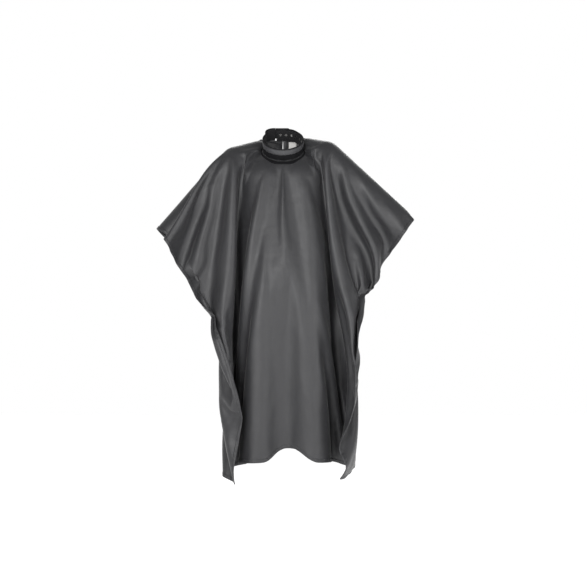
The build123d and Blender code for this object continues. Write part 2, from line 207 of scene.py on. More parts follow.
def sides_of(quads, edges, n):
    """For each side of the quads in turn, which edge it is."""
    key = edges[:, 0] * n + edges[:, 1]
    ends = [np.sort(quads[:, [i, (i + 1) % 4]], axis=1) for i in range(4)]
    return [np.searchsorted(key, pair[:, 0] * n + pair[:, 1]) for pair in ends]


def halve(quads, *fields):
    """The grid at half the cell, with every field carried over in straight lines."""
    n, e = quads.max() + 1, edges_of(quads)
    centre = n + len(e) + np.arange(len(quads))
    mids = [n + k for k in sides_of(quads, e, n)]
    new = np.vstack([np.c_[quads[:, i], mids[i], centre, mids[i - 1]] for i in range(4)])
    return new, [np.vstack([f, (f[e[:, 0]] + f[e[:, 1]]) / 2, f[quads].mean(1)]) for f in fields]


def round_off(quads, x):
    """One Catmull-Clark step of the places, in the same order as halve gives."""
    n, e = len(x), edges_of(quads)
    face = x[quads].mean(1)
    total, uses = np.zeros((len(e), 3)), np.zeros(len(e))
    for k in sides_of(quads, e, n):
        np.add.at(total, k, face)
        np.add.at(uses, k, 1)
    middle = (x[e[:, 0]] + x[e[:, 1]]) / 2
    inner = uses > 1
    point = middle.copy()
    point[inner] = (middle[inner] + total[inner] / 2) / 2
    valence, around, faces, touching = np.zeros(n), np.zeros((n, 3)), np.zeros((n, 3)), np.zeros(n)
    rim, rim_sum = np.zeros(n), np.zeros((n, 3))
    for side in (0, 1):
        np.add.at(valence, e[:, side], 1)
        np.add.at(around, e[:, side], middle)
        np.add.at(rim, e[~inner, side], 1)
        np.add.at(rim_sum, e[~inner, side], x[e[~inner, 1 - side]])
    for i in range(4):
        np.add.at(faces, quads[:, i], face)
        np.add.at(touching, quads[:, i], 1)
    v = valence[:, None]
    corner = (faces / touching[:, None] + 2 * around / v + (v - 3) * x) / v
    on_rim = rim == 2
    corner[on_rim] = (6 * x[on_rim] + rim_sum[on_rim]) / 8
    corner[(rim > 0) & ~on_rim] = x[(rim > 0) & ~on_rim]
    return np.vstack([corner, point, face])


# ===== the cloth's start: where its folds are laid before it is let go =====
RIDGE = [(-.46, -.324), (-.32, -.157), (-.226, -.05), (-.208, -.029), (-.15, -.006), (-.075, .014),
         (0, .014), (.075, .014), (.12, .008), (.182, -.004), (.25, -.066), (.35, -.158), (.455, -.254)]
RIDGE_MIDDLE = 6
RIDGE_Y = .015
# Level sections of the front, for the left and right half: at each height, rows of (distance from the
# middle in the cut, distance from the middle as hung, depth), from the middle roll out to the side hem.
SECTIONS = {
    -1: {
        -.15: [(0, 0, -.085), (.08, .08, -.088), (.13, .128, -.08), (.165, .155, -.06), (.2, .168, -.03),
            (.225, .18, -.022), (.26, .2, -.045), (.32, .256, -.045), (.42, .34, -.04), (.5715, .45, -.04)],
        -.3: [(0, 0, -.118), (.09, .09, -.122), (.135, .132, -.11), (.165, .15, -.085), (.215, .156, -.03),
            (.235, .165, -.02), (.285, .18, -.062), (.32, .215, -.07), (.37, .265, -.058), (.44, .335, -.045),
            (.5715, .45, -.04)],
        -.5: [(0, 0, -.135), (.09, .085, -.14), (.14, .13, -.125), (.165, .145, -.1), (.225, .149, -.035),
            (.245, .154, -.028), (.31, .162, -.09), (.345, .188, -.105), (.39, .225, -.09), (.46, .275, -.06),
            (.5715, .325, -.02)],
        -.62: [(0, -.002, -.125), (.09, .085, -.139), (.142, .13, -.125), (.167, .144, -.1), (.235, .146, -.028),
            (.255, .152, -.018), (.315, .17, -.07), (.355, .198, -.085), (.4, .228, -.08), (.46, .262, -.075),
            (.5715, .303, -.06)],
        -.8: [(0, -.005, -.115), (.09, .085, -.137), (.145, .13, -.125), (.17, .143, -.1), (.245, .143, -.02),
            (.265, .15, -.008), (.32, .19, 0), (.365, .214, -.025), (.415, .2185, -.07), (.465, .218, -.115),
            (.515, .208, -.145), (.5715, .188, -.165)],
        -.95: [(0, -.008, -.11), (.09, .083, -.136), (.148, .133, -.122), (.17, .145, -.1), (.25, .142, -.015),
            (.27, .15, -.003), (.325, .188, 0), (.37, .209, -.025), (.42, .212, -.07), (.47, .206, -.115),
            (.52, .182, -.148), (.5715, .15, -.168)],
        -1.15: [(0, -.01, -.105), (.09, .08, -.135), (.15, .135, -.12), (.17, .146, -.1), (.25, .141, -.015),
            (.27, .148, -.003), (.325, .185, 0), (.37, .203, -.025), (.42, .206, -.07), (.47, .202, -.115),
            (.52, .18, -.15), (.5715, .152, -.168)],
    },
    1: {
        -.15: [(0, 0, -.085), (.08, .08, -.088), (.14, .138, -.08), (.175, .165, -.06), (.21, .18, -.03),
            (.235, .192, -.022), (.27, .215, -.045), (.33, .268, -.045), (.42, .35, -.04), (.5715, .44, -.04)],
        -.3: [(0, 0, -.118), (.09, .09, -.122), (.145, .145, -.11), (.175, .163, -.085), (.225, .169, -.03),
            (.245, .178, -.02), (.295, .193, -.062), (.33, .228, -.07), (.38, .278, -.058), (.45, .345, -.045),
            (.5715, .44, -.04)],
        -.5: [(0, 0, -.135), (.095, .09, -.14), (.15, .148, -.125), (.175, .165, -.1), (.235, .168, -.035),
            (.255, .173, -.028), (.32, .182, -.09), (.355, .206, -.105), (.4, .238, -.09), (.47, .28, -.06),
            (.5715, .31, -.02)],
        -.62: [(0, .002, -.125), (.095, .092, -.139), (.152, .149, -.125), (.177, .166, -.1), (.245, .168, -.028),
            (.265, .174, -.018), (.325, .195, -.065), (.36, .222, -.075), (.41, .245, -.07), (.47, .254, -.09),
            (.5715, .257, -.11)],
        -.8: [(0, .005, -.115), (.095, .095, -.137), (.155, .15, -.125), (.18, .167, -.1), (.255, .168, -.02),
            (.275, .176, -.008), (.33, .222, 0), (.375, .25, -.025), (.42, .262, -.062), (.46, .263, -.095),
            (.51, .262, -.13), (.5715, .255, -.165)],
        -.95: [(0, .008, -.11), (.1, .105, -.133), (.155, .153, -.122), (.178, .168, -.1), (.255, .169, -.015),
            (.275, .177, -.003), (.33, .222, .003), (.375, .25, -.022), (.42, .258, -.062), (.46, .258, -.1),
            (.51, .252, -.14), (.5715, .236, -.168)],
        -1.15: [(0, .01, -.105), (.1, .118, -.13), (.15, .158, -.118), (.17, .17, -.1), (.245, .17, -.015),
            (.265, .178, -.003), (.33, .228, .005), (.375, .257, -.02), (.42, .2655, -.06), (.47, .26, -.105),
            (.52, .228, -.142), (.5715, .184, -.165)],
    },
}
BACK_DEPTH = [(0, .125), (.12, .120), (.20, .095), (.30, .085), (.5715, .080)]
# How far out the side hems hang, by height.
SIDE_LINE = {
    -1: [(-.453, -.309), (-.418, -.372), (-.329, -.479), (-.319, -.549), (-.312, -.602), (-.234, -.719),
         (-.222, -.783), (-.207, -1.151), (-.163, -1.18)],
    1: [(.447, -.249), (.425, -.326), (.361, -.39), (.326, -.461), (.294, -.532), (.255, -.631),
        (.262, -.896), (.255, -.953), (.266, -1.119), (.184, -1.18)],
}
HEM_TURNS_IN = {-1: -.78, 1: -.95}      # below here the side hem curls round in front
SOFT_FOLDS = [(.010, -.088, .190), (.0055, .060, .062), (.003, -.020, .037)]   # depth, crest, width
# Strengths of the level pulls, as accelerations per metre: on the side hems, and on cloth past them.
HEM_PULL = 300
WALL = 1500
WING_HOLD = .7           # how closely the wings keep to the sections
FRONT_REACH = -.172      # nothing swings further forward than this
TIP_ROUND = .055         # how softly the cloth turns over the shoulder line
LOOKED_AT = np.r_[np.linspace(0, .06, 25), np.linspace(.065, 1.45, 250)]


def flowing(t, ts, vs):
    """Smooth curve through the points (ts, vs), ts rising."""
    ts, vs = np.asarray(ts, float), np.asarray(vs, float)
    steps = np.diff(ts)
    slope = np.diff(vs) / steps
    m = np.empty_like(vs)
    m[1:-1] = (slope[:-1] * steps[1:] + slope[1:] * steps[:-1]) / (ts[2:] - ts[:-2])
    m[0], m[-1] = slope[0], slope[-1]
    i = np.clip(np.searchsorted(ts, t) - 1, 0, len(ts) - 2)
    h = ts[i + 1] - ts[i]
    q = np.clip((t - ts[i]) / h, 0, 1)
    rise = (-2 * q ** 3 + 3 * q ** 2) * (vs[i + 1] - vs[i])
    return vs[i] + rise + (q ** 3 - 2 * q ** 2 + q) * h * m[i] + (q ** 3 - q ** 2) * h * m[i + 1]


def laid_out(flat):
    """The cut laid along its ridge, with the front's folds as the sections say and the back plain."""
    ridge = np.array(RIDGE)
    run = np.r_[0, np.cumsum(np.hypot(*np.diff(ridge, axis=0).T))]
    run -= run[RIDGE_MIDDLE]
    u, v = flat[:, 0], flat[:, 1]
    out = np.zeros((len(flat), 3))
    levels = sorted(SECTIONS[1])
    columns, which = np.unique(np.round(u, 6), return_inverse=True)
    for k, across in enumerate(columns):
        here = np.flatnonzero(which == k)
        s, a = (1 if across >= 0 else -1), abs(across)
        x0, z0 = np.interp(across, run, ridge[:, 0]), np.interp(across, run, ridge[:, 1])
        xs, ys = [], []
        for level in levels:
            table = np.array(SECTIONS[s][level])
            xs.append(s * flowing(np.array([a]), table[:, 0], table[:, 1])[0])
            ys.append(flowing(np.array([a]), table[:, 0], table[:, 2])[0])
        z = z0 - LOOKED_AT
        leaving = ease(LOOKED_AT / .16)
        over = np.sqrt(1 - (1 - np.clip(LOOKED_AT / TIP_ROUND, 0, 1)) ** 2)
        over *= .55 + .45 * ease(LOOKED_AT / .13)
        x = x0 * (1 - leaving) + flowing(z, levels, xs) * leaving
        soft = sum(deep * np.cos(2 * math.pi * (x - crest) / width) for deep, crest, width in SOFT_FOLDS)
        soft *= ease((-z - .22) / .35) * ease((.150 - abs(x - .01)) / .05)
        front = np.c_[x, RIDGE_Y + (flowing(z, levels, ys) - RIDGE_Y) * over - soft, z]
        depth = np.interp(a, *np.array(BACK_DEPTH).T) + .02 * np.clip(LOOKED_AT / .4, 0, 1)
        back = np.c_[np.full(len(z), x0), RIDGE_Y + (depth - RIDGE_Y) * over, z]
        for line, chosen in ((front, here[v[here] <= 0]), (back, here[v[here] > 0])):
            along = np.r_[0, np.cumsum(np.linalg.norm(np.diff(line, axis=0), axis=1))]
            for c in range(3):
                out[chosen, c] = np.interp(abs(v[chosen]), along, line[:, c])
    near_neck = ease((np.hypot(u, v) - HOLE_R) / .12)[:, None]
    return (1 - near_neck) * neck_plane(flat) + near_neck * out


# ===== the neckband's line =====
def studded_radius(angle, depth):
    """Radius, at an angle from the middle back, of the end that carries the studs."""
    a, radius, corner = abs(angle), NECK_R + depth, CORNER_R + depth
    if a <= math.atan2(CORNER_U, radius):
        return radius / math.cos(a)
    if a <= math.atan2(CORNER_U + corner * math.sin(TURN), CORNER_V + corner * math.cos(TURN)):
        on_ray = CORNER_U * math.sin(a) + CORNER_V * math.cos(a)
        return on_ray + math.sqrt(on_ray ** 2 - CORNER_U ** 2 - CORNER_V ** 2 + corner ** 2)
    return radius / math.cos(TURN - a) if a <= TURN else radius


def ramp_radius(angle, depth):
    """Radius of the end that carries the tab, as it rises over the studs."""
    share = ease((RAMP - angle) / (RAMP - ROOT))
    return (NECK_R + depth) * (1 - share) + (TAB_V + depth) / math.cos(angle) * share


def foot_radius(angle):
    """Radius of the neckband's foot at an angle from the middle back."""
    angle = (angle + math.pi) % (2 * math.pi) - math.pi
    reach = studded_radius(angle, BAND_T)
    return max(reach, ramp_radius(angle, BAND_T)) if ROOT <= angle <= RAMP else reach


def tip(points):
    """From the band's own frame to the cape's."""
    p = np.asarray(points, float)
    c, s = math.cos(TILT), math.sin(TILT)
    return np.stack([p[..., 0], p[..., 1] * c - p[..., 2] * s, p[..., 1] * s + p[..., 2] * c], -1)


def neck_plane(flat):
    """The cut in the plane of the band's foot, its hole opened to fit the foot."""
    r = np.hypot(flat[:, 0], flat[:, 1])
    angle = np.arctan2(-flat[:, 0], flat[:, 1])
    foot = np.array([foot_radius(a) + .0001 for a in angle])
    wider = 1 + (foot / HOLE_R - 1) * (1 - ease((r - HOLE_R) / .05))
    return tip(np.c_[flat * wider[:, None], np.full(len(flat), -BAND_H / 2)])


# ===== hanging the cloth =====
GRAVITY = 9.81
STRAIGHT = -.85          # cosine past which three points count as in line
LARGEST_GAIN = .12       # of a spring in one step, so that it can't overshoot


def coloured(pairs, n):
    """The pairs in groups in which no point comes twice."""
    used, colours = [0] * n, []
    for a, b in pairs.tolist():
        mask, c = used[a] | used[b], 0
        while mask >> c & 1:
            c += 1
        used[a] |= 1 << c
        used[b] |= 1 << c
        colours.append(c)
    colours = np.array(colours)
    return [np.flatnonzero(colours == c) for c in range(colours.max() + 1)]


def straight_threes(quads, flat):
    """Neighbour, point, neighbour in line with each other in the cut."""
    beside = [[] for _ in flat]
    for a, b in edges_of(quads).tolist():
        beside[a].append(b)
        beside[b].append(a)
    threes = []
    places = flat.tolist()
    for p, near in enumerate(beside):
        ways = []
        for q in near:
            dx, dy = places[q][0] - places[p][0], places[q][1] - places[p][1]
            length = math.hypot(dx, dy) + 1e-12
            ways.append((dx / length, dy / length))
        for i in range(len(near)):
            for j in range(i + 1, len(near)):
                if ways[i][0] * ways[j][0] + ways[i][1] * ways[j][1] < STRAIGHT:
                    threes.append((near[i], p, near[j]))
    return np.array(threes)


class Cloth:
    """The sheet as points that keep their edges' lengths, with shear and bending as springs."""

    def __init__(self, flat, quads, x, target, stiffness):
        self.flat, self.x, self.target = flat, x.copy(), target
        n = self.n = len(flat)
        self.velocity = np.zeros_like(x)
        self.loose = np.ones(n)
        self.loose[at_hole(flat)] = 0
        edges = edges_of(quads)
        length = np.linalg.norm(flat[edges[:, 0]] - flat[edges[:, 1]], axis=1)
        cell = np.median(length)
        way = abs(flat[edges[:, 1]] - flat[edges[:, 0]])
        level = way[:, 0] > way[:, 1]
        least = np.minimum(flat[edges[:, 0]], flat[edges[:, 1]])
        parity = np.round(np.where(level, least[:, 0], least[:, 1]) / cell).astype(int) % 2
        order = np.lexsort((parity, level))
        edges, length = edges[order], length[order]
        self.groups = []
        for chosen in coloured(edges, n):
            a, b = edges[chosen].T
            share = self.loose[a] + self.loose[b]
            ok = share > 0
            a, b, share, rest = a[ok], b[ok], share[ok], length[chosen][ok]
            self.groups.append((a, b, rest, (self.loose[a] / share)[:, None], (self.loose[b] / share)[:, None]))
        self.diagonals = np.vstack([quads[:, [0, 2]], quads[:, [1, 3]]])
        a, b = self.diagonals.T
        self.diagonal_length = np.linalg.norm(flat[a] - flat[b], axis=1)
        self.shear = CLOTH_SHEAR / CLOTH_WEIGHT / cell ** 2 / 2
        self.threes = straight_threes(quads, flat)
        self.bend = stiffness / CLOTH_WEIGHT * 4 / cell ** 4

    def forces(self, h):
        """Accelerations from bending and shear."""
        x, n = self.x, self.n
        before, at, after = self.threes.T
        curl = (x[at] - (x[before] + x[after]) / 2) * min(self.bend, LARGEST_GAIN / h ** 2)
        a, b = self.diagonals.T
        d = x[b] - x[a]
        length = np.sqrt((d * d).sum(1))
        d *= ((length - self.diagonal_length) / length * min(self.shear, LARGEST_GAIN / h ** 2))[:, None]
        out = np.empty_like(x)
        for c in range(3):
            k = curl[:, c]
            out[:, c] = (np.bincount(before, k, n) + np.bincount(after, k, n)) / 2 - np.bincount(at, k, n)
            out[:, c] += np.bincount(a, d[:, c], n) - np.bincount(b, d[:, c], n)
        return out

    def near_pairs(self, reach):
        """Pairs of points closer than reach that aren't neighbours in the cut."""
        x = self.x
        cells = np.floor((x - x.min(0)) / reach).astype(np.int64) + 1
        size = cells.max(0) + 2
        key = (cells[:, 0] * size[1] + cells[:, 1]) * size[2] + cells[:, 2]
        order = np.argsort(key, kind="stable")
        ordered = key[order]
        found = []
        for i in (-1, 0, 1):
            for j in (-1, 0, 1):
                shift = (i * size[1] + j) * size[2]
                if shift < 0:
                    continue
                low = np.searchsorted(ordered, key + shift - 1, "left")
                count = np.searchsorted(ordered, key + shift + 1, "right") - low
                a = np.repeat(np.arange(self.n), count)
                b = order[np.repeat(low - np.r_[0, np.cumsum(count)[:-1]], count) + np.arange(len(a))]
                if shift == 0:
                    a, b = a[a < b], b[a < b]
                d = x[a] - x[b]
                close = (d * d).sum(1) < reach * reach
                a, b = a[close], b[close]
                d = self.flat[a] - self.flat[b]
                apart = (d * d).sum(1) >= (2 * reach) ** 2
                found.append(np.c_[a[apart], b[apart]])
        return np.vstack(found).T

    def hang(self, steps, h, shapes, pull, damp, fastest, layer, friction=.25, skin=.004, every=20):
        """Let the cloth settle on the shapes; points nearer than layer push each other apart."""
        x, v, n = self.x, self.velocity, self.n
        pinned = self.loose == 0
        begin = x[pinned].copy()
        for step in range(steps):
            force = self.forces(h) + pull(x)
            force[:, 2] -= GRAVITY
            v += force * h
            v *= math.exp(-damp * h)
            speed = (v * v).sum(1)
            fast = speed > fastest ** 2
            v[fast] *= (fastest / np.sqrt(speed[fast]))[:, None]
            v *= self.loose[:, None]
            old = x.copy()
            x += v * h
            x[pinned] = begin + (self.target - begin) * min(1, 2 * (step + 1) / steps)
            for a, b, rest, wa, wb in self.groups:
                xa, xb = x[a], x[b]
                d = xb - xa
                d *= (1 - rest / (np.sqrt(np.einsum("ij,ij->i", d, d)) + 1e-12))[:, None]
                x[a] = xa + wa * d
                x[b] = xb - wb * d
            if step % every == 0:
                near_a, near_b = self.near_pairs(layer * 1.5)
            d = x[near_a] - x[near_b]
            length = np.sqrt((d * d).sum(1)) + 1e-9
            close = np.flatnonzero(length < layer)
            if len(close):
                a, b = near_a[close], near_b[close]
                push = d[close] * ((layer - length[close]) / length[close] / 2)[:, None]
                uses = np.maximum(np.bincount(a, minlength=n) + np.bincount(b, minlength=n), 1)
                for c in range(3):
                    moved = np.bincount(a, push[:, c], n) - np.bincount(b, push[:, c], n)
                    x[:, c] += moved / uses * self.loose
            gap, away = clearance(shapes, x)
            inside = np.flatnonzero((gap < skin) & ~pinned)
            if len(inside):
                deep, out = skin - gap[inside], away[inside]
                x[inside] += out * deep[:, None]
                slid = x[inside] - old[inside]
                slid -= out * (slid * out).sum(1)[:, None]
                far = np.sqrt((slid * slid).sum(1)) + 1e-12
                x[inside] -= slid * np.minimum(1, friction * deep / far)[:, None]
            v[:] = (x - old) / h


def guiding(flat, laid, strength):
    """Level pulls that keep the front's laid folds and the side hems' line while the cloth settles."""
    u, v = flat[:, 0], flat[:, 1]
    a = abs(u)
    middle = ease((-v - .16) / .18) * ease((.22 - a) / .03)
    rolls = ease((-v - .40) / .25) * ease((a - .19) / .03)
    wings = ease((-v - .10) / .10) * ease((a - .40) / .10) * WING_HOLD
    weight = (np.maximum(np.maximum(middle, .8 * rolls), wings) * strength)[:, None] * np.array([1, 1, 0])
    hem = {s: ease((s * u - .48) / .07) * ease((-v - .03) / .04) for s in (-1, 1)}

    def pull(x):
        force = (laid - x) * weight
        z, across = x[:, 2], x[:, 0]
        for s in (-1, 1):
            line = np.array(SIDE_LINE[s])[::-1]
            edge = np.interp(z, line[:, 1], line[:, 0])
            span = ease((line[-1, 1] - z) / .04) * ease((z - HEM_TURNS_IN[s]) / .1)
            force[:, 0] += HEM_PULL * hem[s] * span * (edge - across)
            beyond = s * (across - edge)
            out = (beyond > 0) & (s * across > 0)
            force[out, 0] -= s * WALL * beyond[out]
        force[:, 1] += WALL * np.maximum(FRONT_REACH - x[:, 1], 0)
        return force

    return pull


# ===== the care label, and the room it needs =====
LABEL_X, LABEL_Y, LABEL_TOP = .034, .080, .017
LABEL_WIDE, LABEL_TALL, LABEL_THICK = .028, .042, .0004
LABEL_REACH = .040       # how far each side of the label's middle the cloth is eased
LABEL_FADE = .022        # over which that dies away
LABEL_ROOM = .0045       # between the label and the cloth over it
EASED_LOW = -.065        # no cloth lower than this is eased


def over_label(flat, places):
    """The cloth eased outward where it covers the care label, which hangs just inside it."""
    x, y, z = places.T
    beside = ease((LABEL_REACH - abs(x - LABEL_X)) / LABEL_FADE)
    above = ease((z - EASED_LOW) / .035)
    away = ease((np.hypot(*flat.T) - HOLE_R) / .020)
    moved = places.copy()
    moved[:, 1] += (flat[:, 1] > 0) * beside * above * away * np.maximum(LABEL_Y + LABEL_ROOM - y, 0)
    return moved


# Each stage: time step, bending stiffness, least distance between layers, and its rounds of
# (steps, strength of the level pulls, damping, top speed).
STAGES = (
    (.0008, 6e-6, .012, ((700, 900, 6, 1), (700, 600, 4, 2))),
    (.0004, 3e-6, .008, ((900, 400, 4, 1.5),)),
)


def draped():
    """The hung cloth: its quads, their points' places in the cut, and their places in space."""
    flat, quads = cut_grid(CELL, NECK_RINGS)
    quads, (flat,) = halve(quads, flat)
    flat = arch_hem(flat)
    x = laid = laid_out(flat)
    shapes = wearer()
    for stage, (h, stiffness, layer, rounds) in enumerate(STAGES):
        if stage:
            quads, (flat, x, laid) = halve(quads, flat, x, laid)
        cloth = Cloth(flat, quads, x, neck_plane(flat)[at_hole(flat)], stiffness)
        for steps, strength, damp, fastest in rounds:
            cloth.hang(steps, h, shapes, guiding(flat, laid, strength), damp, fastest, layer)
        x = cloth.x
    fine = round_off(quads, x)
    quads, (flat,) = halve(quads, flat)
    return quads, flat, fine


# ===== meshes =====
def outward(quads, x):
    """Unit normal at each point."""
    d1, d2 = x[quads[:, 2]] - x[quads[:, 0]], x[quads[:, 3]] - x[quads[:, 1]]
    face = np.cross(d1, d2)
    total = np.zeros_like(x)
    for i in range(quads.shape[1]):
        np.add.at(total, quads[:, i], face)
    return total / (np.linalg.norm(total, axis=1)[:, None] + 1e-12)


def placed(name, data):
    made = bpy.data.objects.new(name, data)
    bpy.context.scene.collection.objects.link(made)
    return made


def make(name, places, faces, material, body, slot, nodes=(), cut=None):
    """New piece that rides on a body, stands for CAD nodes and takes the given material; the slot is not used."""
    mesh = bpy.data.meshes.new(name)
    mesh.from_pydata(np.asarray(places).tolist(), [], [list(map(int, f)) for f in faces])
    if cut is not None:
        layer = mesh.uv_layers.new(name="cut")
        corners = np.empty(len(mesh.loops), np.int32)
        mesh.loops.foreach_get("vertex_index", corners)
        layer.data.foreach_set("uv", cut[corners].astype(np.float32).ravel())
    mesh.polygons.foreach_set("use_smooth", [True] * len(mesh.polygons))
    mesh.materials.append(material)
    mesh.update()
    piece = placed("soft_" + name if nodes else name, mesh)
    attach(piece, body)
    if nodes:
        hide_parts(*nodes)
    return piece


def swept(rings):
    """Quads between rings of points, each ring closed on itself, with both ends filled."""
    rings = np.asarray(rings)
    count, around = rings.shape[:2]
    faces = []
    for i in range(count - 1):
        for k in range(around):
            m = (k + 1) % around
            faces.append((i * around + k, i * around + m, (i + 1) * around + m, (i + 1) * around + k))
    faces.append(tuple(range(around))[::-1])
    faces.append(tuple((count - 1) * around + k for k in range(around)))
    return rings.reshape(-1, 3), faces


STITCH_PITCH = .0034
STITCH_LEN = .0025
STITCH_R = .00038
STITCH_SIDES = 6
STITCH_SHAPE = ((0, .25), (.18, .9), (.5, 1.0), (.82, .9), (1, .25))     # share of its length, girth


def between(s, run, values):
    """The row of values at a distance s along a run."""
    return np.array([np.interp(s, run, values[:, c]) for c in range(3)])


def stitched(path, normal):
    """Rings of one row of stitches: short rounded lumps of thread along a path, lying on a surface."""
    path, normal = np.asarray(path), np.asarray(normal)
    run = np.r_[0, np.cumsum(np.linalg.norm(np.diff(path, axis=0), axis=1))]
    verts, faces = [], []
    for start in np.arange(STITCH_PITCH / 2, run[-1] - STITCH_LEN, STITCH_PITCH):
        rows = []
        for share, girth in STITCH_SHAPE:
            s = start + share * STITCH_LEN
            centre, up = between(s, run, path), between(s, run, normal)
            ahead = between(s + 1e-3, run, path) - between(s - 1e-3, run, path)
            up /= np.linalg.norm(up) + 1e-12
            beside = np.cross(ahead, up)
            beside /= np.linalg.norm(beside) + 1e-12
            turn = np.arange(STITCH_SIDES) * math.pi / 3
            girth *= STITCH_R
            rows.append(centre + girth * (np.cos(turn)[:, None] * beside * 1.2 + np.sin(turn)[:, None] * up))
        v, f = swept(rows)
        faces += [tuple(i + len(verts) * len(v) for i in face) for face in f]
        verts.append(v)
    return np.vstack(verts), faces


def joined(parts):
    """Several (places, faces) as one."""
    places, faces, base = [], [], 0
    for p, f in parts:
        places.append(p)
        faces += [tuple(i + base for i in face) for face in f]
        base += len(p)
    return np.vstack(places), faces


class Surface:
    """The hung cloth, asked by places in the cut."""
    def __init__(self, flat, quads, x):
        self.flat, self.x, self.normal = flat, x, outward(quads, x)
        self.triangles = np.vstack([quads[:, [0, 1, 2]], quads[:, [0, 2, 3]]])
        self.tree = BVHTree.FromPolygons([(u, v, 0) for u, v in flat], self.triangles.tolist())

    def at(self, cut, lift):
        """Points over the cut's places, moved outward by lift, and the outward directions."""
        hits, which = [], []
        for u, v in cut:
            hit, _, k, _ = self.tree.find_nearest((u, v, 0))
            hits.append((hit.x, hit.y))
            which.append(k)
        p, t = np.array(hits), self.triangles[which]
        a, b, c = self.flat[t[:, 0]], self.flat[t[:, 1]], self.flat[t[:, 2]]
        d1, d2, d = b - a, c - a, p - a
        area = d1[:, 0] * d2[:, 1] - d1[:, 1] * d2[:, 0]
        w1 = (d[:, 0] * d2[:, 1] - d[:, 1] * d2[:, 0]) / area
        w2 = (d1[:, 0] * d[:, 1] - d1[:, 1] * d[:, 0]) / area
        shares = np.stack([1 - w1 - w2, w1, w2], 1)[..., None]
        place = (self.x[t] * shares).sum(1)
        way = (self.normal[t] * shares).sum(1)
        way /= np.linalg.norm(way, axis=1)[:, None]
        return place + way * np.broadcast_to(lift, len(p))[:, None], way


# ===== materials =====
def links(tree, *wires):
    """Wires: a node and its output's name, or else a socket; then a node and its input's name."""
    for *start, end, name in wires:
        tree.links.new(start[0].outputs[start[1]] if len(start) > 1 else start[0], end.inputs[name])


def settle(made, **settings):
    """Set a node's inputs, with _ for a space in the name, or else its properties."""
    for key, value in settings.items():
        if key.replace("_", " ") in made.inputs:
            made.inputs[key.replace("_", " ")].default_value = value
        else:
            setattr(made, key, value)
    return made


def node(tree, kind, **settings):
    return settle(tree.nodes.new(kind), **settings)


def blank(name):
    material = bpy.data.materials.new(name)
    material.use_nodes = True
    tree = material.node_tree
    return material, tree, tree.nodes["Principled BSDF"]


def scaled(tree, noise, low, high):
    out = node(tree, "ShaderNodeMapRange", To_Min=low, To_Max=high)
    links(tree, (noise, out, "Value"))
    return out.outputs["Result"]


def fabric(name, dark, light, rough, sheen, threads, relief, crinkle, cut=False, gloss=.5):
    """Woven cloth: fine crossed threads, faint crinkles, cloudy colour and paler worn edges."""
    material, tree, shader = blank(name)
    where = (node(tree, "ShaderNodeUVMap", uv_map="cut").outputs["UV"] if cut
             else node(tree, "ShaderNodeTexCoord").outputs["Object"])
    weave = []
    for way in ("X", "Y"):
        wave = node(tree, "ShaderNodeTexWave", bands_direction=way, Scale=threads, Distortion=.6, Detail=1)
        links(tree, (where, wave, "Vector"))
        weave.append(wave.outputs["Fac"])
    crossed = node(tree, "ShaderNodeMath", operation="MULTIPLY")
    links(tree, (weave[0], crossed, 0), (weave[1], crossed, 1))
    cloud = node(tree, "ShaderNodeTexNoise", Scale=7.0, Detail=6.0, Roughness=.62)
    soft = node(tree, "ShaderNodeTexNoise", Scale=38.0, Detail=3.0, Roughness=.5)
    links(tree, (where, cloud, "Vector"), (where, soft, "Vector"))
    base = node(tree, "ShaderNodeMixRGB", Color1=(*dark, 1), Color2=(*light, 1))
    worn = node(tree, "ShaderNodeMixRGB", blend_type="SCREEN", Color2=(.05, .05, .052, 1))
    edge = node(tree, "ShaderNodeNewGeometry")
    rub = node(tree, "ShaderNodeMapRange", From_Min=.52, From_Max=.62, To_Max=.35)
    threads_shade = scaled(tree, crossed.outputs[0], .88, 1.08)
    shade = node(tree, "ShaderNodeMixRGB", blend_type="MULTIPLY", Fac=1)
    links(tree, (cloud, "Fac", base, "Fac"), (edge, "Pointiness", rub, "Value"),
          (rub, "Result", worn, "Fac"), (base, "Color", shade, "Color1"),
          (threads_shade, shade, "Color2"), (shade, "Color", worn, "Color1"),
          (worn, "Color", shader, "Base Color"),
          (scaled(tree, soft.outputs["Fac"], rough - .07, rough + .08), shader, "Roughness"))
    folds = node(tree, "ShaderNodeBump", Strength=crinkle, Distance=.004)
    grain = node(tree, "ShaderNodeBump", Strength=relief, Distance=.0003)
    links(tree, (soft, "Fac", folds, "Height"), (crossed, 0, grain, "Height"),
          (folds, "Normal", grain, "Normal"), (grain, "Normal", shader, "Normal"))
    settle(shader, Sheen_Weight=sheen, Sheen_Roughness=.4, Specular_IOR_Level=gloss)
    return material


def metal(name, colour, rough):
    """Pressed nickel-plated metal with fine scratches and dull patches."""
    material, tree, shader = blank(name)
    where = node(tree, "ShaderNodeTexCoord").outputs["Object"]
    patch = node(tree, "ShaderNodeTexNoise", Scale=220.0, Detail=5.0)
    scratch = node(tree, "ShaderNodeTexNoise", Scale=1400.0, Detail=2.0)
    bump = node(tree, "ShaderNodeBump", Strength=.12, Distance=.0001)
    tint = node(tree, "ShaderNodeMixRGB", Color1=(*[c * .82 for c in colour], 1), Color2=(*colour, 1))
    links(tree, (where, patch, "Vector"), (where, scratch, "Vector"),
          (patch, "Fac", tint, "Fac"), (tint, "Color", shader, "Base Color"),
          (scaled(tree, patch.outputs["Fac"], rough - .08, rough + .14), shader, "Roughness"),
          (scratch, "Fac", bump, "Height"), (bump, "Normal", shader, "Normal"))
    settle(shader, Metallic=1)
    return material


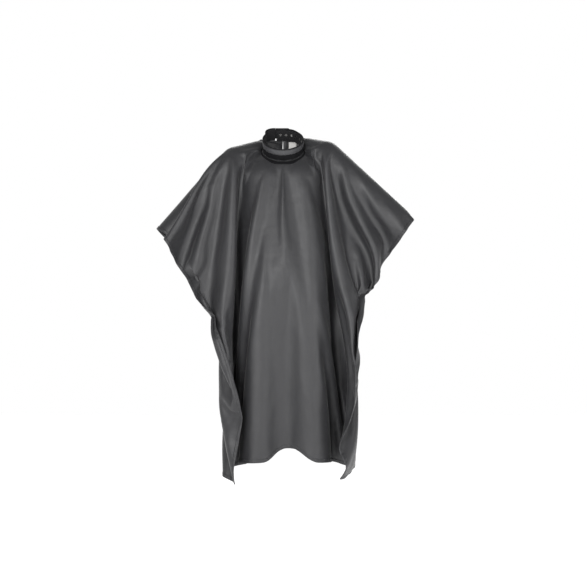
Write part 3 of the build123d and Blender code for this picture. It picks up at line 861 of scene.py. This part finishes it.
NYLON = fabric("cape_nylon", (.015, .015, .0165), (.024, .024, .026), .47, .12, 520, .22, .24, cut=True, gloss=.38)
HEM = fabric("hem_nylon", (.013, .013, .0145), (.021, .021, .023), .50, .12, 520, .25, .30, gloss=.38)
BAND = fabric("band_nylon", (.028, .028, .031), (.040, .040, .043), .40, .08, 420, .4, .15)
LINING = fabric("band_lining", (.007, .007, .008), (.012, .012, .013), .75, .05, 260, .6, .2, gloss=.2)
INTERFACING = fabric("band_interfacing", (.25, .25, .24), (.33, .33, .31), .8, .2, 180, .6, .2)
# Painted shade: near-black matte cloth for the shadowed lower part of the neckband and for the shadow under the
# band
PAINTED_SHADE = fabric("painted_shade_cloth", (.003, .003, .0035), (.006, .006, .007), .85, .02, 260, .6, .2, gloss=.10)
BINDING = fabric("band_binding", (.003, .003, .0035), (.006, .006, .007), .60, .03, 300, .5, .2, gloss=.2)
THREAD = fabric("thread", (.020, .020, .022), (.036, .036, .039), .55, .1, 900, .6, .1)
LABEL = fabric("label_satin", (.52, .51, .49), (.62, .61, .59), .45, .5, 340, .5, .15)
LABEL_THREAD = fabric("label_thread", (.30, .30, .29), (.38, .38, .37), .6, .3, 900, .5, .1)
SNAP = metal("snap_nickel", (.62, .61, .59), .26)
CAP = metal("snap_cap_black_nickel", (.060, .060, .064), .30)

# ===== the cloth and its hems =====
quads, flat, hung = draped()
hung = over_label(flat, hung)
surface = Surface(flat, quads, hung)
cape = make("cape", hung, quads, NYLON, "cape", "cape_cloth", cut=flat, nodes=(
    "front_panel", "left_front_drape", "right_front_drape", "left_shoulder", "right_shoulder",
    "left_wing_front", "left_wing_back", "right_wing_front", "right_wing_back",
    "back_left_panel", "back_right_panel"))

HEM_STEP = .004
HEM_PROFILE = ((1.0, .35), (.97, .8), (.75, 1.0), (.35, 1.0), (.05, .9), (0, .2), (0, -.2), (.05, -.9),
               (.35, -1.0), (.75, -1.0), (.97, -.8), (1.0, -.35))
HEM_HALF_T = .0011
HEM_SEWN = .78           # share of the hem's width at which it is sewn
FACING_SEWN = .88
PUCKER = .0009
PUCKER_RUN = .0145


def hem(name, start, end, inward, stitches):
    """Double-folded hem along one straight edge of the cut, puckered by its stitch row."""
    start, end, inward = np.array(start), np.array(end), np.array(inward)
    count = int(np.linalg.norm(end - start) / HEM_STEP)
    line = [start + (end - start) * i / count for i in range(count + 1)]
    cut, lift = [], []
    for i, p in enumerate(line):
        s = i * HEM_STEP
        wave = math.sin(2 * math.pi * s / PUCKER_RUN + 1.7 * math.sin(s * 31)) * math.sin(s * 13 + 1)
        for reach, side in HEM_PROFILE:
            cut.append(p + inward * reach * HEM_W)
            lift.append(side * HEM_HALF_T + PUCKER * wave * ease(np.array(reach * 1.4)) + (.0002 if side else 0))
    places, _ = surface.at(arch_hem(np.array(cut)), np.array(lift))
    piece = make(name, *swept(places.reshape(count + 1, len(HEM_PROFILE), 3)), HEM, "cape", "hem", (name,))
    row = arch_hem(np.array([p + inward * HEM_W * HEM_SEWN for p in line]))
    for side in (1, -1):
        path, way = surface.at(row, side * (HEM_HALF_T + .0003))
        stitches.append(stitched(path, way * side))
    return piece


hem_rows = []
half, low, high, mid = CUT_W / 2, -CUT_FRONT, CUT_BACK, .0006
hems = [
    hem("front_hem", (-half, low), (half, low), (0, 1), hem_rows),
    hem("left_side_hem", (-half, low + HEM_W), (-half, high - HEM_W), (1, 0), hem_rows),
    hem("right_side_hem", (half, low + HEM_W), (half, high - HEM_W), (-1, 0), hem_rows),
    hem("back_left_hem", (-half, high), (-mid, high), (0, -1), hem_rows),
    hem("back_right_hem", (mid, high), (half, high), (0, -1), hem_rows),
]
hems.append(make("hem_stitching", *joined(hem_rows), THREAD, "cape", "thread"))

FACING_PROFILE = ((0.03, -.3), (.0, -.9), (.03, -1.6), (.5, -1.7), (.97, -1.6), (1.0, -1.1), (.97, -.5), (.5, -.4))
facing_rows = []
for name, side in (("slit_facing_left", -1), ("slit_facing_right", 1)):
    stations = np.linspace(HOLE_R + .006, CUT_BACK - HEM_W, 96)
    cut = np.array([(side * (mid + reach * FACING_W), v) for v in stations for reach, _ in FACING_PROFILE])
    lift = np.array([depth * MM for _ in stations for _, depth in FACING_PROFILE])
    places, _ = surface.at(cut, lift)
    hems.append(make(name, *swept(places.reshape(len(stations), -1, 3)), HEM, "cape", "hem", (name,)))
    sewn = np.array([(side * (mid + FACING_W * FACING_SEWN), v) for v in stations])
    facing_rows.append(stitched(*surface.at(sewn, .0004)))
hems.append(make("slit_stitching", *joined(facing_rows), THREAD, "cape", "thread"))

# Painted shade: a near-black matte ring laid on the outside of the cloth round the neck, widest at the front,
# standing in for the shadow under the neckband
NECK_SHADE_W = .024
turns = np.linspace(0, 2 * math.pi, 181) + 1e-3
turns[-1] -= 2e-3
profile = ((0.02, .25), (.0, .9), (.5, 1.2), (.94, 1.1), (1.0, .3))
reaches = HOLE_R + .001 + NECK_SHADE_W * np.outer(.30 + .70 * ease(-.2 - np.cos(turns)), [r for r, _ in profile])
cut = np.stack([reaches * np.sin(turns)[:, None], reaches * np.cos(turns)[:, None]], -1).reshape(-1, 2)
lift = np.array([h * MM for _ in turns for _, h in profile])
places, _ = surface.at(cut, lift)
hems.append(make("neck_painted_shade", *swept(places.reshape(len(turns), -1, 3)), PAINTED_SHADE, "cape", "neckband"))

# ===== the neckband =====
def band_line(depth):
    """Points and outward directions of the band's surface, from the tab's root to the underlap's end."""
    radius, corner = NECK_R + depth, CORNER_R + depth
    points = []
    for angle in np.linspace(ROOT, RAMP, 40, endpoint=False):
        r = ramp_radius(angle, depth)
        points.append((-r * math.sin(angle), r * math.cos(angle)))
    for angle in np.linspace(RAMP, 2 * math.pi - TURN, 150, endpoint=False):
        points.append((-radius * math.sin(angle), radius * math.cos(angle)))
    start = np.array([radius * math.sin(TURN), radius * math.cos(TURN)])
    end = np.array([CORNER_U + corner * math.sin(TURN), CORNER_V + corner * math.cos(TURN)])
    points += [tuple(start + (end - start) * t) for t in (0, .5)]
    for angle in np.linspace(TURN, 0, 24, endpoint=False):
        points.append((CORNER_U + corner * math.sin(angle), CORNER_V + corner * math.cos(angle)))
    points += [(u, radius) for u in np.linspace(CORNER_U, UNDERLAP_X, 24)]
    points = np.array(points)
    ahead = np.gradient(points, axis=0)
    ahead /= np.linalg.norm(ahead, axis=1)[:, None]
    return points, np.c_[ahead[:, 1], -ahead[:, 0]]


def band_shell(inner, outer, bottom, top, keep=None, edge=.0004, puff=0.0):
    """Closed layer of the band with rounded edges, faintly rippled along its length."""
    line, way = band_line((inner + outer) / 2)
    if keep is not None:
        line, way = line[keep(line)], way[keep(line)]
    half_t = (outer - inner) / 2
    middle, half_h = (bottom + top) / 2, (top - bottom) / 2
    heights = np.array([-1, -.96, -.7, -.35, 0, .35, .7, .96, 1])
    run = np.r_[0, np.cumsum(np.linalg.norm(np.diff(line, axis=0), axis=1))]
    rings = []
    for i, (p, n) in enumerate(zip(line, way)):
        ring = []
        for side, order in ((1, heights), (-1, heights[::-1])):
            for h in order:
                thin = half_t - (edge if abs(h) == 1 else 0)
                ripple = puff * (1 - h * h) * (1 + .35 * math.sin(run[i] * 260 + 2 * math.sin(run[i] * 90)))
                q = p + n * (side * thin + (ripple if side > 0 else 0))
                ring.append((q[0], q[1], middle + half_h * h))
        rings.append(tip(ring))
    return swept(rings)


bottom, top = -BAND_H / 2, BAND_H / 2
binding_low = top - BINDING_H
shade_strip_top = bottom + SHADE_STRIP_H
# Above the strip the band's outside is its own grey cloth; below it the same outside is drawn near-black, painted
# shade for the shadow on its lower part
for name, inner, outer, foot, head, material, slot, finish in (
        ("neckband_outer", MIDDLE_T, BAND_T - .00005, shade_strip_top, binding_low, BAND, "neckband", {"puff": .0004}),
        ("neckband_lower", MIDDLE_T, BAND_T - .0001, bottom, shade_strip_top - .0003, PAINTED_SHADE, "neckband", {"puff": .0003}),
        ("neckband_lining", .00012, LINING_T, bottom, binding_low, LINING, "neckband_lining", {}),
        ("neckband_interfacing", LINING_T, MIDDLE_T, bottom + .0004, binding_low, INTERFACING, "interfacing", {}),
        ("neckband_binding", 0, BAND_T + BINDING_PROUD, binding_low, top, BINDING, "binding", {"edge": .001})):
    make(name, *band_shell(inner, outer, foot, head, **finish), material, "cape", slot,
         () if name == "neckband_lower" else (name,))
rows = []
sewn = BAND_T + .00045
for depth, height in ((sewn, bottom + .0044), (sewn, shade_strip_top + .0022), (sewn, binding_low - .0026),
                      (BAND_T + BINDING_PROUD + .0001, binding_low + .0012)):
    line, way = band_line(depth)
    path = tip(np.c_[line, np.full(len(line), height)])
    rows.append(stitched(path, tip(np.c_[way, np.zeros(len(way))])))
make("neckband_stitching", *joined(rows), THREAD, "cape", "thread", ("neckband_stitching",))
seam_low = bottom + .0011


def clear_of_slit(line):
    """Which points of the band's line aren't behind the closure."""
    return ~((line[:, 1] > 0) & (abs(line[:, 0]) < SEAM_GAP))


make("neck_seam", *band_shell(BAND_T + .0002, BAND_T + .0002 + SEAM_W, seam_low, seam_low + SEAM_H,
                              keep=clear_of_slit, edge=.0008, puff=.0003), HEM, "cape", "hem", ("neck_seam",))

# ===== the closure tab =====
def tab_plate(inner, outer, inset, edge=.0003):
    """Flat layer of the tab with its free corners rounded and its edges softened."""
    low, high = TAB_LOW + inset, top - inset
    rings = []
    for share in np.r_[0, .02, np.linspace(.08, .92, 10), .98, 1]:
        w = low + (high - low) * share
        from_edge = max(min(w - low, high - w), 0.0)
        back = 0.0
        if from_edge < TAB_CORNER:
            back = TAB_CORNER - math.sqrt(TAB_CORNER ** 2 - (TAB_CORNER - from_edge) ** 2)
        ring = []
        ends = np.linspace(TAB_ROOT_X - .0002, TAB_END_X - inset - back, 9)
        thin = edge if share in (0, 1) else 0
        for u in ends:
            ring.append((u, outer - thin - (edge if u == ends[-1] else 0), w))
        for u in ends[::-1]:
            ring.append((u, inner + thin, w))
        rings.append(tip(ring))
    return swept(rings)


tab_in, tab_mid, tab_out = TAB_V + LINING_T, TAB_V + MIDDLE_T, TAB_V + BAND_T
make("tab_lining", *tab_plate(TAB_V, tab_in, 0), LINING, "closure_tab", "neckband_lining", ("tab_lining",))
make("tab_interfacing", *tab_plate(tab_in, tab_mid, .0004), INTERFACING, "closure_tab", "interfacing",
     ("tab_interfacing",))
make("tab_outer", *tab_plate(tab_mid, tab_out, 0), BAND, "closure_tab", "neckband", ("tab_outer",))
inset = .0026
corner = TAB_CORNER - inset
outline = [(TAB_ROOT_X + .002, TAB_LOW + inset)]
for centre_w, first in ((TAB_LOW + inset + corner, -90), (top - inset - corner, 0)):
    for degrees in range(first, first + 91, 15):
        a = math.radians(degrees)
        outline.append((TAB_END_X - inset - corner + corner * math.cos(a), centre_w + corner * math.sin(a)))
outline.append((TAB_ROOT_X + .002, top - inset))
path = tip([(u, tab_out + .0003, w) for u, w in outline])
way = tip([(0, 1, 0)] * len(path))
make("tab_stitching", *stitched(path, way), THREAD, "closure_tab", "thread", ("tab_stitching",))

# ===== the care label =====
rings = []
for k in range(15):
    t = k / 14
    ring = []
    for side in (1, -1):
        for j in range(9):
            across = (j / 8 - .5) * side
            curl = -.0012 * t * t - .0008 * t * (4 * across * across - .3)
            ring.append((LABEL_X + across * LABEL_WIDE, LABEL_Y + side * LABEL_THICK / 2 + curl,
                         LABEL_TOP - t * LABEL_TALL))
    rings.append(ring)
make("care_label", *swept(rings), LABEL, "care_label", "label", ("care_label",))
xs = np.linspace(LABEL_X - LABEL_WIDE / 2 + .001, LABEL_X + LABEL_WIDE / 2 - .001, 20)
path = np.array([(x, LABEL_Y - LABEL_THICK / 2 - .0004, LABEL_TOP - .003) for x in xs])
make("care_label_stitching", *stitched(path, np.array([(0, -1, 0)] * len(path))), LABEL_THREAD,
     "care_label", "label_thread", ("care_label_stitching",))

for name, material in (("snap_studs", SNAP), ("snap_stud_posts", SNAP), ("snap_sockets", SNAP), ("snap_caps", CAP)):
    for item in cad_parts[name].material_slots:
        item.material = material

across, along = flat[quads[:, 2]] - flat[quads[:, 0]], flat[quads[:, 3]] - flat[quads[:, 1]]

# ===== studio =====
FLOOR_Z = -1.60
floor_material, tree, shader = blank("studio_floor")
settle(shader, Base_Color=(.95, .95, .95, 1), Roughness=.9, Emission_Color=(1, 1, 1, 1), Emission_Strength=.60)
mesh = bpy.data.meshes.new("studio_floor")
mesh.from_pydata([(-9, -9, FLOOR_Z), (9, -9, FLOOR_Z), (9, 9, FLOOR_Z), (-9, 9, FLOOR_Z)], [], [(0, 1, 2, 3)])
mesh.materials.append(floor_material)
floor = placed("studio_floor", mesh)

world = bpy.data.worlds.new("studio")
bpy.context.scene.world = world
world.use_nodes = True
tree = world.node_tree
height = node(tree, "ShaderNodeSeparateXYZ")
dome = node(tree, "ShaderNodeMapRange", interpolation_type="SMOOTHSTEP",
            From_Min=.22, From_Max=.55, To_Min=1.0, To_Max=.32)
links(tree, (node(tree, "ShaderNodeTexCoord"), "Generated", height, "Vector"),
      (height, "Z", dome, "Value"),
      (dome, "Result", tree.nodes["Background"], "Strength"))
settle(tree.nodes["Background"], Color=(1, 1, 1, 1))
bpy.context.scene.view_settings.view_transform = "Standard"


def softbox(name, place, target, size, power):
    lamp = bpy.data.lights.new(name, "AREA")
    lamp.size, lamp.energy = size, power
    made = placed(name, lamp)
    made.location = place
    made.rotation_euler = (Vector(target) - Vector(place)).to_track_quat("-Z", "Y").to_euler()


softbox("key", (-1.5, -4.2, .35), (0, 0, -.6), 1.4, 150)
softbox("fill", (2.6, -3.6, -.1), (0, 0, -.6), 1.4, 80)
softbox("rim", (.5, 3.2, 1.2), (0, 0, -.4), 2.0, 60)

camera = placed("camera", bpy.data.cameras.new("camera"))
camera.location = (.037, -6, -.526)
camera.rotation_euler = (math.pi / 2, 0, 0)
camera.data.lens, camera.data.sensor_width = 103.9, 36
bpy.context.scene.camera = camera
